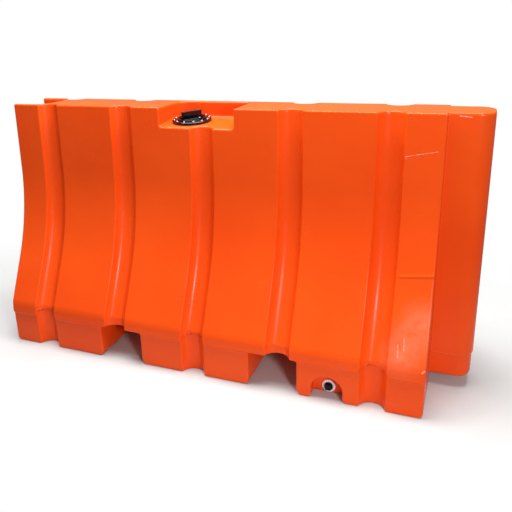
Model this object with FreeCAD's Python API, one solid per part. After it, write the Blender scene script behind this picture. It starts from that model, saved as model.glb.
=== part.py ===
"""Water-filled traffic barrier: one hollow moulded body, a screwed-on fill port and a drain plug.

Frame: millimetres, +Z up, origin on the ground in the middle of the overall box.  +X runs along the
barrier towards the knuckle, -Y is the face with the drain, and the ground is Z = 0.
"""
import FreeCAD, Part
import math
import os
from FreeCAD import Vector

# Body: a run of five equal panels, with a knuckle at one end and a matching socket at the other.
BODY_LENGTH = 1829.0
HEIGHT = 1067.0
PANELS = 5
WALL = 6.5
KNUCKLE_REACH = 152.0
LEFT = -(BODY_LENGTH + KNUCKLE_REACH) / 2
RIGHT = LEFT + BODY_LENGTH
NOSE = RIGHT + KNUCKLE_REACH
MID = (LEFT + RIGHT) / 2

# Cross-section, as half-widths: a leaning top, one long hollow curve, a straight slope, then the foot.
TOP_LEAN = 2.79
SLOPE_LEAN = 25.5
CURVE_RADIUS = 1043.0
CURVE_TOP_HALF = 121.0
CURVE_TOP_Z = 780.0
SHOULDER_Z = 193.0
LIP_HALF = 316.0
LIP_Z = 146.0
FOOT_TOP_HALF = 310.0
FOOT_HALF = 312.0

# Flutes: round channels down the middle of each panel, on both faces.  The one behind the fill recess
# has a shorter rise above the curve, so that it ends below the recess floor.
FLUTE_RADIUS = 50.0
FLUTE_DEPTH = 38.0
FOOT_FLUTE_DEPTH = 40.0
FLUTE_RISE = 320.0
SHORT_FLUTE_RISE = 140.0

# Fork openings through the base, between the three feet.
FORK_SPACING = 686.0
FORK_WIDTH = 196.0
FOOT_CORNER = 26.0

# Ends: the upright knuckle and the socket that takes the next barrier's knuckle.
KNUCKLE_HALF = 81.0
KNUCKLE_CORNER = 57.0
KNUCKLE_BOTTOM = 47.0
KNUCKLE_STEP_Z = 146.0
KNUCKLE_STEP = 4.0
SOCKET_HALF = 90.0
SOCKET_CORNER = 62.0
SOCKET_DEPTH = 157.0
HORN_SOLID_Z = 830.0

# Fill recess: a notch in the top, open to the front, with a floor that drains forward.
RECESS_LEFT = -260.5
RECESS_RIGHT = 61.5
RECESS_BACK = 82.0
RECESS_CORNER = 45.0
RECESS_FLOOR_Z = 996.5
FLOOR_TILT = 4.0

# Fill port, in its own frame: origin on the recess floor, +Z along the port's tilted axis.
PORT_X = -165.5
PORT_Y = -2.0
PORT_HOLE = 58.0
FLANGE_RADIUS = 82.0
GASKET = 3.0
FLANGE_TOP = 12.0
BORE = 50.5
NECK_RADIUS = 56.0
NECK_BOTTOM = -22.0
SCREWS = 12
SCREW_CIRCLE = 72.0
SCREW_RADIUS = 2.45
SCREW_HEAD = (4.8, 3.2)
SCREW_LENGTH = 22.0
INSERT_RADIUS = 4.0
INSERT_LENGTH = 12.0
BOSS_RADIUS = 9.0
BOSS_DEPTH = 18.0

# Fill cap and its bar handle, in the same frame as the port.
RUNNING_GAP = 0.3
CAP_PLUG_RADIUS = 49.6
CAP_PLUG_BOTTOM = -16.0
CAP_RIM_RADIUS = 61.0
CAP_RIM_TOP = 16.5
CAP_DISH_Z = 3.0
CAP_UNDERSIDE_Z = -3.0
CAP_WALL = 4.0
HUB_RADIUS = 41.0
HUB_TOP = 8.0
SEAL_MINOR = 2.2
SEAL_MAJOR = 48.0
SEAL_Z = -6.0
SEAL_ROOM = 0.4
HANDLE_ANGLE = 47.5
HANDLE_LENGTH = 87.0
HANDLE_THICKNESS = 13.0
HANDLE_TOP = 44.0
HANDLE_PLATE = (80.0, 38.0, 4.0)
HANDLE_SCREWS = ((-30.0, 12.5), (30.0, -12.5))
HANDLE_SCREW_HEAD = (5.4, 3.2)
HANDLE_SCREW_TIP = -1.5

# Drain: an arched pocket in the last foot, with a threaded bush and plug facing -Y.
DRAIN_X = 484.0
DRAIN_Z = 36.0
POCKET_LEFT = 423.0
POCKET_RIGHT = 545.0
POCKET_HEIGHT = 98.0
POCKET_WALL_Y = -262.0
BUSH_FLANGE = 26.5
BUSH_FLANGE_THICKNESS = 6.0
BUSH_BODY = 18.0
BUSH_LENGTH = 24.0
BUSH_BORE = 13.45
PLUG_SHANK = 13.4
PLUG_SHANK_LENGTH = 21.0
WASHER_THICKNESS = 2.0
PLUG_COLLAR = 17.0
PLUG_COLLAR_THICKNESS = 3.0
PLUG_HEAD = 23.0
PLUG_HEAD_HEIGHT = 9.0

# The (x, y) ends of a box at which its upright edges stand, 0 low or 1 high.
ALL_CORNERS = ((0, 0), (0, 1), (1, 0), (1, 1))


def half_width_at(z):
    """Half-width of the smooth face above the shoulder, at height z."""
    if z >= CURVE_TOP_Z:
        return CURVE_TOP_HALF - (z - CURVE_TOP_Z) * math.tan(math.radians(TOP_LEAN))
    top, slope = math.radians(TOP_LEAN), math.radians(SLOPE_LEAN)
    curve_foot_z = CURVE_TOP_Z - CURVE_RADIUS * (math.sin(slope) - math.sin(top))
    lean = math.asin(math.sin(top) + (CURVE_TOP_Z - max(z, curve_foot_z)) / CURVE_RADIUS)
    half = CURVE_TOP_HALF + CURVE_RADIUS * (math.cos(top) - math.cos(lean))
    return half + max(curve_foot_z - z, 0) * math.tan(slope)


def face_curve_points():
    """Start, middle and end of the long hollow curve, as (half-width, z)."""
    top, slope = math.radians(TOP_LEAN), math.radians(SLOPE_LEAN)
    end_z = CURVE_TOP_Z - CURVE_RADIUS * (math.sin(slope) - math.sin(top))
    middle_z = (CURVE_TOP_Z + end_z) / 2
    return [(half_width_at(z), z) for z in (CURVE_TOP_Z, middle_z, end_z)]


def side_edges(side):
    """Edges of one face from the top down to the ground, at y = side * half-width."""
    def at(half, z):
        return Vector(0, side * half, z)
    start, middle, end = [at(*point) for point in face_curve_points()]
    shoulder = at(half_width_at(SHOULDER_Z), SHOULDER_Z)
    lip, step, foot = at(LIP_HALF, LIP_Z), at(FOOT_TOP_HALF, LIP_Z), at(FOOT_HALF, 0)
    edges = [Part.LineSegment(at(half_width_at(HEIGHT), HEIGHT), start).toShape(),
             Part.Arc(start, middle, end).toShape()]
    corners = [end, shoulder, lip, step, foot]
    return edges + [Part.LineSegment(a, b).toShape() for a, b in zip(corners, corners[1:])]


def section_face(inset):
    """The barrier's cross-section in the YZ plane, shrunk all round by inset."""
    top_half = half_width_at(HEIGHT)
    deck = Part.LineSegment(Vector(0, -top_half, HEIGHT), Vector(0, top_half, HEIGHT)).toShape()
    ground = Part.LineSegment(Vector(0, -FOOT_HALF, 0), Vector(0, FOOT_HALF, 0)).toShape()
    edges = side_edges(-1) + side_edges(1) + [deck, ground]
    wire = Part.Wire(Part.__sortEdges__(edges))
    if inset:
        wire = wire.makeOffset2D(-inset)
    return Part.Face(wire)


def box(low, high):
    """A box between two opposite corners."""
    size = [b - a for a, b in zip(low, high)]
    return Part.makeBox(*size, Vector(*low))


def rounded_block(low, high, radius, corners):
    """A box whose vertical edges at the named (x, y) ends, 0 low or 1 high, are rounded."""
    block = box(low, high)
    places = [((low[0], high[0])[i], (low[1], high[1])[j]) for i, j in corners]
    picked = []
    for edge in block.Edges:
        point, direction = edge.CenterOfMass, edge.tangentAt(edge.FirstParameter)
        upright = abs(direction.z) > 0.9
        if upright and any(math.hypot(point.x - x, point.y - y) < 0.1 for x, y in places):
            picked.append(edge)
    return block.makeFillet(radius, picked)


def ring(outer, inner, low, high):
    """A plain round ring or tube about Z."""
    tube = Part.makeCylinder(outer, high - low, Vector(0, 0, low))
    return tube.cut(Part.makeCylinder(inner, high - low, Vector(0, 0, low)))


def turned(points):
    """A solid turned about Z from its (radius, z) outline."""
    outline = Part.makePolygon([Vector(r, 0, z) for r, z in points + points[:1]])
    return Part.Face(outline).revolve(Vector(0, 0, 0), Vector(0, 0, 1), 360)


def flute_tool(x, side, grow, through_foot, rise):
    """The channel cut down one face: a round bar that follows the face at a fixed depth."""
    radius = FLUTE_RADIUS + grow
    stand_off = FLUTE_RADIUS - FLUTE_DEPTH
    lean = math.radians(TOP_LEAN)
    start, middle, end = face_curve_points()
    curve_centre = (CURVE_TOP_HALF + CURVE_RADIUS * math.cos(lean), CURVE_TOP_Z + CURVE_RADIUS * math.sin(lean))

    def beside(point):
        half, z = point
        away = math.hypot(half - curve_centre[0], z - curve_centre[1])
        share = stand_off / away
        shifted = (half + (curve_centre[0] - half) * share, z + (curve_centre[1] - z) * share)
        return Vector(x, side * shifted[0], shifted[1])

    start, middle, end = [beside(point) for point in (start, middle, end)]
    up = Vector(0, -side * math.sin(lean), math.cos(lean))
    slope = math.radians(SLOPE_LEAN)
    down = Vector(0, side * math.sin(slope), -math.cos(slope))
    top, bottom = start + up * rise, end + down * 330
    path = Part.Wire([Part.LineSegment(top, start).toShape(), Part.Arc(start, middle, end).toShape(),
                      Part.LineSegment(end, bottom).toShape()])
    circle = Part.Wire(Part.makeCircle(radius, top, up))
    bar = path.makePipeShell([circle], True, False)
    low_half = half_width_at(SHOULDER_Z)
    band = Vector(0, side * (LIP_HALF - low_half), LIP_Z - SHOULDER_Z).normalize()
    outward = Vector(0, side * -band.z, abs(band.y))
    band_top = Vector(x, side * low_half, SHOULDER_Z) + outward * stand_off - band * 60
    tools = [bar, Part.makeCylinder(radius, 120 + 2 * grow, band_top, band)]
    if rise < HEIGHT - CURVE_TOP_Z:
        tools.append(Part.makeSphere(radius, top))
    if through_foot:
        centre = side * (FOOT_TOP_HALF + FLUTE_RADIUS - FOOT_FLUTE_DEPTH)
        tools.append(Part.makeCylinder(radius, LIP_Z + 40, Vector(x, centre, -20)))
    return tools


def flute_tools(grow):
    """Channels on both faces; those over a fork opening stop at the lip."""
    tools = []
    for panel in range(PANELS):
        x = LEFT + BODY_LENGTH * (panel + 0.5) / PANELS
        over_fork = panel % 2 == 1
        for side in (-1, 1):
            behind_recess = side > 0 and panel == PANELS // 2
            rise = SHORT_FLUTE_RISE if behind_recess else FLUTE_RISE
            tools += flute_tool(x, side, grow, not over_fork, rise)
    return tools


def fork_tools(grow):
    """The two fork openings, right through the base, with rounded foot corners."""
    tools = []
    for centre in (MID - FORK_SPACING / 2, MID + FORK_SPACING / 2):
        low, high = centre - FORK_WIDTH / 2 - grow, centre + FORK_WIDTH / 2 + grow
        tools.append(box((low, -400, -20), (high, 400, LIP_Z + grow)))
        if not grow:
            tools += [foot_corner_tool(low, -1), foot_corner_tool(high, 1)]
    if not grow:
        tools += [foot_corner_tool(LEFT, 1), foot_corner_tool(RIGHT, -1)]
    return tools


def foot_corner_tool(x, toward):
    """What a foot loses where its bottom edge turns up: toward is the side of x that the foot is on."""
    r = FOOT_CORNER
    low_x = min(x, x + toward * r)
    block = box((low_x, -400, -1), (low_x + r, 400, r))
    centre = Vector(x + toward * r, -401, r)
    return block.cut(Part.makeCylinder(r, 802, centre, Vector(0, 1, 0)))


def socket_tool(grow):
    """The upright socket at the left end, full height."""
    half = SOCKET_HALF + grow
    low, high = (LEFT - 50, -half, -20), (LEFT + SOCKET_DEPTH + grow, half, HEIGHT + 20)
    return rounded_block(low, high, SOCKET_CORNER + grow, ((1, 0), (1, 1)))


def tilt(shape, z):
    """Turn a shape about the X line through the port at height z, so that its top leans forward."""
    return shape.rotate(Vector(0, PORT_Y, z), Vector(1, 0, 0), FLOOR_TILT)


def recess_tool(grow):
    """The notch for the fill port, with a floor that drains forward."""
    low = (RECESS_LEFT - grow, -400, RECESS_FLOOR_Z - grow)
    high = (RECESS_RIGHT + grow, RECESS_BACK + grow, HEIGHT + 60)
    block = rounded_block(low, high, RECESS_CORNER + grow, ((0, 1),))
    tilt(block, RECESS_FLOOR_Z)
    upright = box((low[0], low[1], HEIGHT - 300), (high[0], high[1], HEIGHT + 20))
    return block.common(upright)


def pocket_tool(grow):
    """The arched pocket round the drain, open to the front and the ground."""
    radius = (POCKET_RIGHT - POCKET_LEFT) / 2 + grow
    centre = (POCKET_LEFT + POCKET_RIGHT) / 2
    spring = POCKET_HEIGHT + grow - radius
    back = POCKET_WALL_Y + grow
    arch = Part.makeCylinder(radius, back + 400, Vector(centre, -400, spring), Vector(0, 1, 0))
    return arch.fuse(box((centre - radius, -400, -20), (centre + radius, back, spring)))


def knuckle_block(inset):
    """The upright knuckle at the right end, a little narrower below its step."""
    def post(shrink, bottom, top):
        half = KNUCKLE_HALF - shrink
        low, high = (RIGHT - 60, -half, bottom), (NOSE - shrink, half, top)
        return rounded_block(low, high, KNUCKLE_CORNER - shrink, ((1, 0), (1, 1)))
    upper = post(inset, KNUCKLE_STEP_Z, HEIGHT - inset)
    return upper.fuse(post(KNUCKLE_STEP + inset, KNUCKLE_BOTTOM + inset, KNUCKLE_STEP_Z + 1))


def barrier_form(inset):
    """The whole body as one solid, shrunk by inset on every face."""
    body = section_face(inset).extrude(Vector(BODY_LENGTH - 2 * inset, 0, 0))
    body.translate(Vector(LEFT + inset, 0, 0))
    tools = flute_tools(inset) + fork_tools(inset)
    tools += [socket_tool(inset), recess_tool(inset), pocket_tool(inset)]
    return body.fuse(knuckle_block(inset)).cut(tools)


def to_port(shape):
    """Move a shape from the port's own frame to its place on the tilted recess floor."""
    shape.rotate(Vector(0, 0, 0), Vector(1, 0, 0), FLOOR_TILT)
    shape.translate(Vector(PORT_X, PORT_Y, RECESS_FLOOR_Z))
    return shape


def round_port(shape, radius, count=SCREWS):
    """Copies of a shape set evenly on a circle about Z, half a step round from +X."""
    copies = []
    for number in range(count):
        copy = shape.copy()
        copy.translate(Vector(radius, 0, 0))
        copy.rotate(Vector(0, 0, 0), Vector(0, 0, 1), 360 * number / count)
        copies.append(copy)
    return copies


def to_drain(shape):
    """Move a shape from the drain's own frame, +Z outward from the pocket wall, to its place."""
    shape.rotate(Vector(0, 0, 0), Vector(1, 0, 0), 90)
    shape.translate(Vector(DRAIN_X, POCKET_WALL_Y, DRAIN_Z))
    return shape


def make_shell():
    """The moulding: outer form less the water space, with bosses, fill hole and drain hole."""
    inner = barrier_form(WALL)
    horn_tips = box((LEFT - 10, -400, HORN_SOLID_Z), (LEFT + SOCKET_DEPTH - 20, 400, HEIGHT))
    boss = Part.makeCylinder(BOSS_RADIUS, BOSS_DEPTH, Vector(0, 0, -BOSS_DEPTH))
    bosses = [to_port(copy) for copy in round_port(boss, SCREW_CIRCLE)]
    inner = inner.cut([horn_tips] + bosses)
    holes = [to_port(Part.makeCylinder(PORT_HOLE, 60, Vector(0, 0, -30)))]
    insert = Part.makeCylinder(INSERT_RADIUS, INSERT_LENGTH + 5, Vector(0, 0, -INSERT_LENGTH))
    holes += [to_port(copy) for copy in round_port(insert, SCREW_CIRCLE)]
    holes.append(to_drain(Part.makeCylinder(BUSH_BODY, 60, Vector(0, 0, -30))))
    return barrier_form(0).cut([inner] + holes)


def make_gasket():
    """Flat rubber gasket under the port ring."""
    flat = ring(FLANGE_RADIUS - 1.5, PORT_HOLE, 0, GASKET)
    hole = Part.makeCylinder(SCREW_RADIUS + 0.3, GASKET)
    return to_port(flat.cut(round_port(hole, SCREW_CIRCLE)))


def make_port_ring():
    """Screwed-down ring with a neck that hangs through the fill hole."""
    body = turned([(BORE, NECK_BOTTOM), (NECK_RADIUS, NECK_BOTTOM), (NECK_RADIUS, GASKET),
                   (FLANGE_RADIUS, GASKET), (FLANGE_RADIUS, FLANGE_TOP - 2.5),
                   (FLANGE_RADIUS - 2.5, FLANGE_TOP), (BORE, FLANGE_TOP)])
    hole = Part.makeCylinder(SCREW_RADIUS + 0.3, 30)
    return to_port(body.cut(round_port(hole, SCREW_CIRCLE)))


def make_port_screws():
    """Pan-head screws that hold the ring, one solid each."""
    radius, height = SCREW_HEAD
    screw = turned([(0, FLANGE_TOP - SCREW_LENGTH), (SCREW_RADIUS, FLANGE_TOP - SCREW_LENGTH),
                    (SCREW_RADIUS, FLANGE_TOP), (radius, FLANGE_TOP), (radius, FLANGE_TOP + height - 1.2),
                    (radius - 1.4, FLANGE_TOP + height), (0, FLANGE_TOP + height)])
    return to_port(Part.makeCompound(round_port(screw, SCREW_CIRCLE)))


def make_port_inserts():
    """Threaded inserts moulded into the recess floor, one solid each."""
    insert = ring(INSERT_RADIUS, SCREW_RADIUS, -INSERT_LENGTH, 0)
    return to_port(Part.makeCompound(round_port(insert, SCREW_CIRCLE)))


def make_cap():
    """Dished cap: a plug in the ring's bore, a rim over the ring, and a raised hub."""
    rim_z = FLANGE_TOP + RUNNING_GAP
    inside = CAP_PLUG_RADIUS - CAP_WALL
    groove = SEAL_MAJOR - SEAL_MINOR - SEAL_ROOM
    low, high = SEAL_Z - SEAL_MINOR - SEAL_ROOM, SEAL_Z + SEAL_MINOR + SEAL_ROOM
    body = turned([(0, CAP_UNDERSIDE_Z), (groove - CAP_WALL, CAP_UNDERSIDE_Z),
                   (groove - CAP_WALL, CAP_PLUG_BOTTOM), (CAP_PLUG_RADIUS, CAP_PLUG_BOTTOM),
                   (CAP_PLUG_RADIUS, low), (groove, low), (groove, high), (CAP_PLUG_RADIUS, high),
                   (CAP_PLUG_RADIUS, rim_z), (CAP_RIM_RADIUS, rim_z), (CAP_RIM_RADIUS, CAP_RIM_TOP - 2),
                   (CAP_RIM_RADIUS - 2, CAP_RIM_TOP), (CAP_RIM_RADIUS - 6, CAP_RIM_TOP),
                   (inside + 3, CAP_DISH_Z + 2), (inside, CAP_DISH_Z), (HUB_RADIUS + 2, CAP_DISH_Z),
                   (HUB_RADIUS, CAP_DISH_Z + 2), (HUB_RADIUS, HUB_TOP - 2), (HUB_RADIUS - 2, HUB_TOP),
                   (0, HUB_TOP)])
    pilot = Part.makeCylinder(2.0, 20, Vector(0, 0, HANDLE_SCREW_TIP - 0.5))
    return to_port(body.cut(handle_places(pilot)))


def make_cap_seal():
    """Round-section seal in the cap's groove."""
    return to_port(Part.makeTorus(SEAL_MAJOR, SEAL_MINOR, Vector(0, 0, SEAL_Z)))


def handle_places(shape):
    """Copies of a shape at the handle's two screws, turned with the handle."""
    copies = []
    for along, across in HANDLE_SCREWS:
        copy = shape.copy()
        copy.translate(Vector(along, across, 0))
        copy.rotate(Vector(0, 0, 0), Vector(0, 0, 1), HANDLE_ANGLE)
        copies.append(copy)
    return copies


def make_handle():
    """Upright bar handle on a screwed foot plate."""
    length, width, thickness = HANDLE_PLATE
    low, high = (-length / 2, -width / 2, HUB_TOP), (length / 2, width / 2, HUB_TOP + thickness)
    plate = rounded_block(low, high, width / 2 - 1, ALL_CORNERS)
    low = (-HANDLE_LENGTH / 2, -HANDLE_THICKNESS / 2, HUB_TOP)
    high = (HANDLE_LENGTH / 2, HANDLE_THICKNESS / 2, HANDLE_TOP)
    bar = rounded_block(low, high, 4, ALL_CORNERS)
    handle = plate.fuse(bar).removeSplitter()
    handle.rotate(Vector(0, 0, 0), Vector(0, 0, 1), HANDLE_ANGLE)
    return to_port(handle.cut(handle_places(Part.makeCylinder(2.6, 30))))


def make_handle_screws():
    """Two bright screws through the handle's foot plate into the hub."""
    radius, height = HANDLE_SCREW_HEAD
    seat = HUB_TOP + HANDLE_PLATE[2]
    screw = turned([(0, HANDLE_SCREW_TIP), (1.95, HANDLE_SCREW_TIP), (1.95, seat), (radius, seat),
                    (radius, seat + height - 1.2), (radius - 1.6, seat + height), (0, seat + height)])
    return to_port(Part.makeCompound(handle_places(screw)))


def make_drain_bush():
    """Moulded-in threaded bush with a round flange."""
    body = turned([(BUSH_BORE, -BUSH_LENGTH), (BUSH_BODY, -BUSH_LENGTH), (BUSH_BODY, 0), (BUSH_FLANGE, 0),
                   (BUSH_FLANGE, BUSH_FLANGE_THICKNESS - 1.5), (BUSH_FLANGE - 1.5, BUSH_FLANGE_THICKNESS),
                   (BUSH_BORE, BUSH_FLANGE_THICKNESS)])
    return to_drain(body)


def make_drain_washer():
    """Rubber washer under the plug's collar."""
    low = BUSH_FLANGE_THICKNESS + RUNNING_GAP
    return to_drain(ring(PLUG_COLLAR, PLUG_SHANK + RUNNING_GAP, low, low + WASHER_THICKNESS))


def make_drain_plug():
    """Threaded plug with a round collar and a square head."""
    seat = BUSH_FLANGE_THICKNESS + WASHER_THICKNESS + 2 * RUNNING_GAP
    head_z = seat + PLUG_COLLAR_THICKNESS
    tip = BUSH_FLANGE_THICKNESS - PLUG_SHANK_LENGTH
    body = turned([(0, tip), (PLUG_SHANK - 1.5, tip), (PLUG_SHANK, tip + 1.5), (PLUG_SHANK, seat),
                   (PLUG_COLLAR, seat), (PLUG_COLLAR, head_z), (0, head_z)])
    half = PLUG_HEAD / 2
    low, high = (-half, -half, head_z - 1), (half, half, head_z + PLUG_HEAD_HEIGHT)
    return to_drain(body.fuse(rounded_block(low, high, 5, ALL_CORNERS)))


PIECES = {
    "barrier_shell": make_shell,
    "fill_port_gasket": make_gasket,
    "fill_port_ring": make_port_ring,
    "fill_port_screws": make_port_screws,
    "fill_port_inserts": make_port_inserts,
    "fill_cap": make_cap,
    "fill_cap_seal": make_cap_seal,
    "fill_cap_handle": make_handle,
    "handle_screws": make_handle_screws,
    "drain_bush": make_drain_bush,
    "drain_washer": make_drain_washer,
    "drain_plug": make_drain_plug,
}

os.makedirs("parts", exist_ok=True)
for name, make in PIECES.items():
    shape = make()
    print(name, "valid" if shape.isValid() else "NOT VALID", len(shape.Solids), "solids",
          round(shape.Volume / 1000), "cm3")
    shape.exportStep(f"parts/{name}.step")
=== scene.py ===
"""Water-filled traffic barrier: the looks of the moulded shell, the fill port and the drain.

Everything is in metres, in the model's own frame: X along the barrier, -Y the drain face, ground at Z = 0.
"""
import math
import bpy
import numpy as np
from mathutils import Matrix, Vector


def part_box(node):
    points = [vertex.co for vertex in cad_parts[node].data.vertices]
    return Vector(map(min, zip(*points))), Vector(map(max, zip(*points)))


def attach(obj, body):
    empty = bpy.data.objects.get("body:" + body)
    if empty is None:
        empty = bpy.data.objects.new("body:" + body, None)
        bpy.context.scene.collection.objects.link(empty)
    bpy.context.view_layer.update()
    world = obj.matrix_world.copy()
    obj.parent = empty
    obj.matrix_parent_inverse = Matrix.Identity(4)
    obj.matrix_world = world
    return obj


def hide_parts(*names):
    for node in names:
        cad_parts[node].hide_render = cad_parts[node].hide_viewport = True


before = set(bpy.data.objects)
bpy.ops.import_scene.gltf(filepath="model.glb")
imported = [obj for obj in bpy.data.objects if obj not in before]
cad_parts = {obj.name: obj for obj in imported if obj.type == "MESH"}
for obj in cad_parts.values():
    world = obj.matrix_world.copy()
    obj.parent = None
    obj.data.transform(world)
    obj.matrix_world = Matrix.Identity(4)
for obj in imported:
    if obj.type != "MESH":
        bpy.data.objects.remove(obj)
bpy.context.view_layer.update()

# The moulding's driving sizes, worked out from the frame where the frame holds them.
SHELL_LOW, SHELL_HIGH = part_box("barrier_shell")
LEFT = SHELL_LOW[0]
NOSE = SHELL_HIGH[0]
HEIGHT = SHELL_HIGH[2]
LIP_HALF = SHELL_HIGH[1]
RIGHT = NOSE - 0.152
PANELS = 5
PANEL = (RIGHT - LEFT) / PANELS
MID = (LEFT + RIGHT) / 2
TOP_LEAN = math.radians(2.79)
SLOPE_LEAN = math.radians(25.5)
CURVE_RADIUS = 1.043
CURVE_TOP_HALF = 0.121
CURVE_TOP_Z = 0.780
SHOULDER_Z = 0.193
LIP_Z = 0.146
FOOT_HALF = 0.312
FOOT_TOP_HALF = 0.310
FLUTE_RADIUS = 0.050
FLUTE_DEPTH = 0.038
FOOT_FLUTE_DEPTH = 0.040
FORK_SPACING = 0.686
FORK_WIDTH = 0.196
KNUCKLE_HALF = 0.081
KNUCKLE_CORNER = 0.057
KNUCKLE_BOTTOM = 0.047
KNUCKLE_STEP = 0.004
SOCKET_HALF = 0.090
SOCKET_CORNER = 0.062
SOCKET_DEPTH = 0.157
WALL = 0.0065
CORE_HALF = 0.100

# The recess for the fill port: the port's axis stands square to its tilted floor.
RECESS_LEFT = MID - 0.1845
RECESS_RIGHT = MID + 0.1375
RECESS_BACK = 0.082
RECESS_CORNER = 0.045
REAR_FLUTE_TOP = 0.920
FLOOR_TILT = math.radians(4.0)
PORT = Vector((-0.1655, -0.002, 0.9965))
PORT_HOLE = 0.058
TO_PORT = Matrix.Translation(PORT) @ Matrix.Rotation(FLOOR_TILT, 4, "X")

# The fittings, in the port's own frame.
RING_TOP = 0.012
SCREW_CIRCLE = 0.072
HUB_TOP = 0.008
HANDLE_ANGLE = math.radians(47.5)
HANDLE_HALF = (0.0435, 0.0065)
HANDLE_TOP = 0.044
PLATE_HALF = (0.040, 0.019)
PLATE_TOP = 0.012
HANDLE_SCREWS = ((-0.030, 0.0125), (0.030, -0.0125))
# Screws: radius and height of the head, radius of the shank, length of the shank.
RING_SCREW = (0.0048, 0.0032, 0.00245, 0.022)
PLATE_SCREW = (0.0054, 0.0032, 0.00195, 0.0135)

# The drain pocket: an arch open to the ground.  The drain's own frame has +Z outward from its back wall.
DRAIN = Vector((0.484, -0.262, 0.036))
POCKET_HALF = 0.061
POCKET_HEIGHT = 0.098
TO_DRAIN = Matrix.Translation(DRAIN) @ Matrix.Rotation(math.radians(90), 4, "X")
SHANK_RADIUS, SHANK_END = 0.0134, -0.015
COLLAR_RADIUS, COLLAR_BASE, COLLAR_TOP = 0.017, 0.0086, 0.0116
HEAD_HALF, HEAD_CORNER, HEAD_TOP = 0.0115, 0.005, 0.0206


# ---------------------------------------------------------------- small tools

def srgb(code):
    """A colour from its sRGB hex code, as linear RGBA."""
    channels = [int(code[i:i + 2], 16) / 255 for i in (1, 3, 5)]
    linear = [c / 12.92 if c <= 0.04045 else ((c + 0.055) / 1.055) ** 2.4 for c in channels]
    return (*linear, 1.0)


def add(tree, kind, inputs=None, **settings):
    """Add a node with its settings; each of its inputs is linked to a socket or set to a value."""
    node = tree.nodes.new(kind)
    for name, value in settings.items():
        setattr(node, name, value)
    for key, value in (inputs or {}).items():
        if isinstance(value, bpy.types.NodeSocket):
            tree.links.new(value, node.inputs[key])
        else:
            node.inputs[key].default_value = value
    return node


def ramp(tree, factor, stops):
    """A colour ramp through (position, colour or grey level) stops."""
    node = add(tree, "ShaderNodeValToRGB", {"Fac": factor})
    elements = node.color_ramp.elements
    while len(elements) < len(stops):
        elements.new(0.5)
    for element, (place, value) in zip(elements, stops):
        element.position = place
        element.color = value if isinstance(value, tuple) else (value, value, value, 1)
    return node.outputs["Color"]


def new_material(name):
    """An empty node material with its shader, and the object's own coordinates."""
    material = bpy.data.materials.new(name)
    material.use_nodes = True
    tree = material.node_tree
    tree.nodes.clear()
    shader = tree.nodes.new("ShaderNodeBsdfPrincipled")
    output = tree.nodes.new("ShaderNodeOutputMaterial")
    tree.links.new(shader.outputs["BSDF"], output.inputs["Surface"])
    place = tree.nodes.new("ShaderNodeTexCoord").outputs["Object"]
    return material, tree, shader, place


def mesh_object(name, verts, faces):
    """A mesh object at the origin from its points and faces."""
    mesh = bpy.data.meshes.new(name)
    mesh.from_pydata([tuple(v) for v in verts], [], [tuple(f) for f in faces])
    mesh.validate()
    obj = bpy.data.objects.new(name, mesh)
    bpy.context.scene.collection.objects.link(obj)
    return obj


# ---------------------------------------------------------------- the moulded shell, as a distance field

def round_both(a, b, radius):
    """Where both fields are inside, with the edge between them rounded."""
    corner = np.hypot(np.maximum(a + radius, 0), np.maximum(b + radius, 0))
    return np.minimum(-radius, np.maximum(a, b)) + corner


def round_join(a, b, radius):
    """Where either field is inside, with the inner corner between them filled to a radius."""
    return -round_both(-a, -b, radius)


def carve(a, b, radius):
    """The first field less the second, with the rim rounded."""
    return round_both(a, -b, radius)


def face_half_width(z):
    """Half-width of the smooth face above the shoulder, and the cosine of its lean."""
    sine = np.sin(TOP_LEAN) + (CURVE_TOP_Z - z) / CURVE_RADIUS
    sine = np.clip(sine, np.sin(TOP_LEAN), np.sin(SLOPE_LEAN))
    cosine = np.sqrt(1 - sine ** 2)
    curve_foot_z = CURVE_TOP_Z - CURVE_RADIUS * (np.sin(SLOPE_LEAN) - np.sin(TOP_LEAN))
    half = CURVE_TOP_HALF + CURVE_RADIUS * (np.cos(TOP_LEAN) - cosine)
    half = half + np.maximum(curve_foot_z - z, 0) * np.tan(SLOPE_LEAN)
    half = half - np.maximum(z - CURVE_TOP_Z, 0) * np.tan(TOP_LEAN)
    return half, cosine


def upper_face(y, z):
    """Distance outside the body's two faces above the lip, shoulder included."""
    half, cosine = face_half_width(z)
    face = (np.abs(y) - half) * cosine
    shoulder_half = float(face_half_width(np.array(SHOULDER_Z))[0])
    rise, run = SHOULDER_Z - LIP_Z, LIP_HALF - shoulder_half
    length = math.hypot(rise, run)
    band = ((np.abs(y) - shoulder_half) * rise + (z - SHOULDER_Z) * run) / length
    return round_both(face, band, 0.006)


def foot_face(y, z):
    """Distance outside the feet's faces, which stand a little inside the lip."""
    return np.abs(y) - FOOT_HALF + (FOOT_HALF - FOOT_TOP_HALF) * z / LIP_Z


def flutes(x, y, z, upper, foot):
    """Distance to the channels down the panels.

    Those over a foot run on down it, a little deeper, and the one behind the recess ends below its floor.
    """
    along = (x - LEFT) / PANEL
    panel = np.clip(np.floor(along), 0, PANELS - 1)
    across = x - LEFT - (panel + 0.5) * PANEL
    stand_off = FLUTE_RADIUS - FLUTE_DEPTH
    behind_recess = (y > 0) & (panel == PANELS // 2)
    above_end = np.where(behind_recess, np.maximum(z - REAR_FLUTE_TOP, 0), 0)
    channel = np.sqrt(across ** 2 + (upper - stand_off) ** 2 + above_end ** 2) - FLUTE_RADIUS
    foot_off = FLUTE_RADIUS - FOOT_FLUTE_DEPTH
    foot_channel = np.hypot(across, foot - foot_off) - FLUTE_RADIUS
    foot_channel = round_both(foot_channel, z - LIP_Z - 0.018, 0.0025)
    over_foot = np.mod(panel, 2) < 0.5
    return np.where(over_foot, np.minimum(channel, foot_channel), channel)


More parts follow.
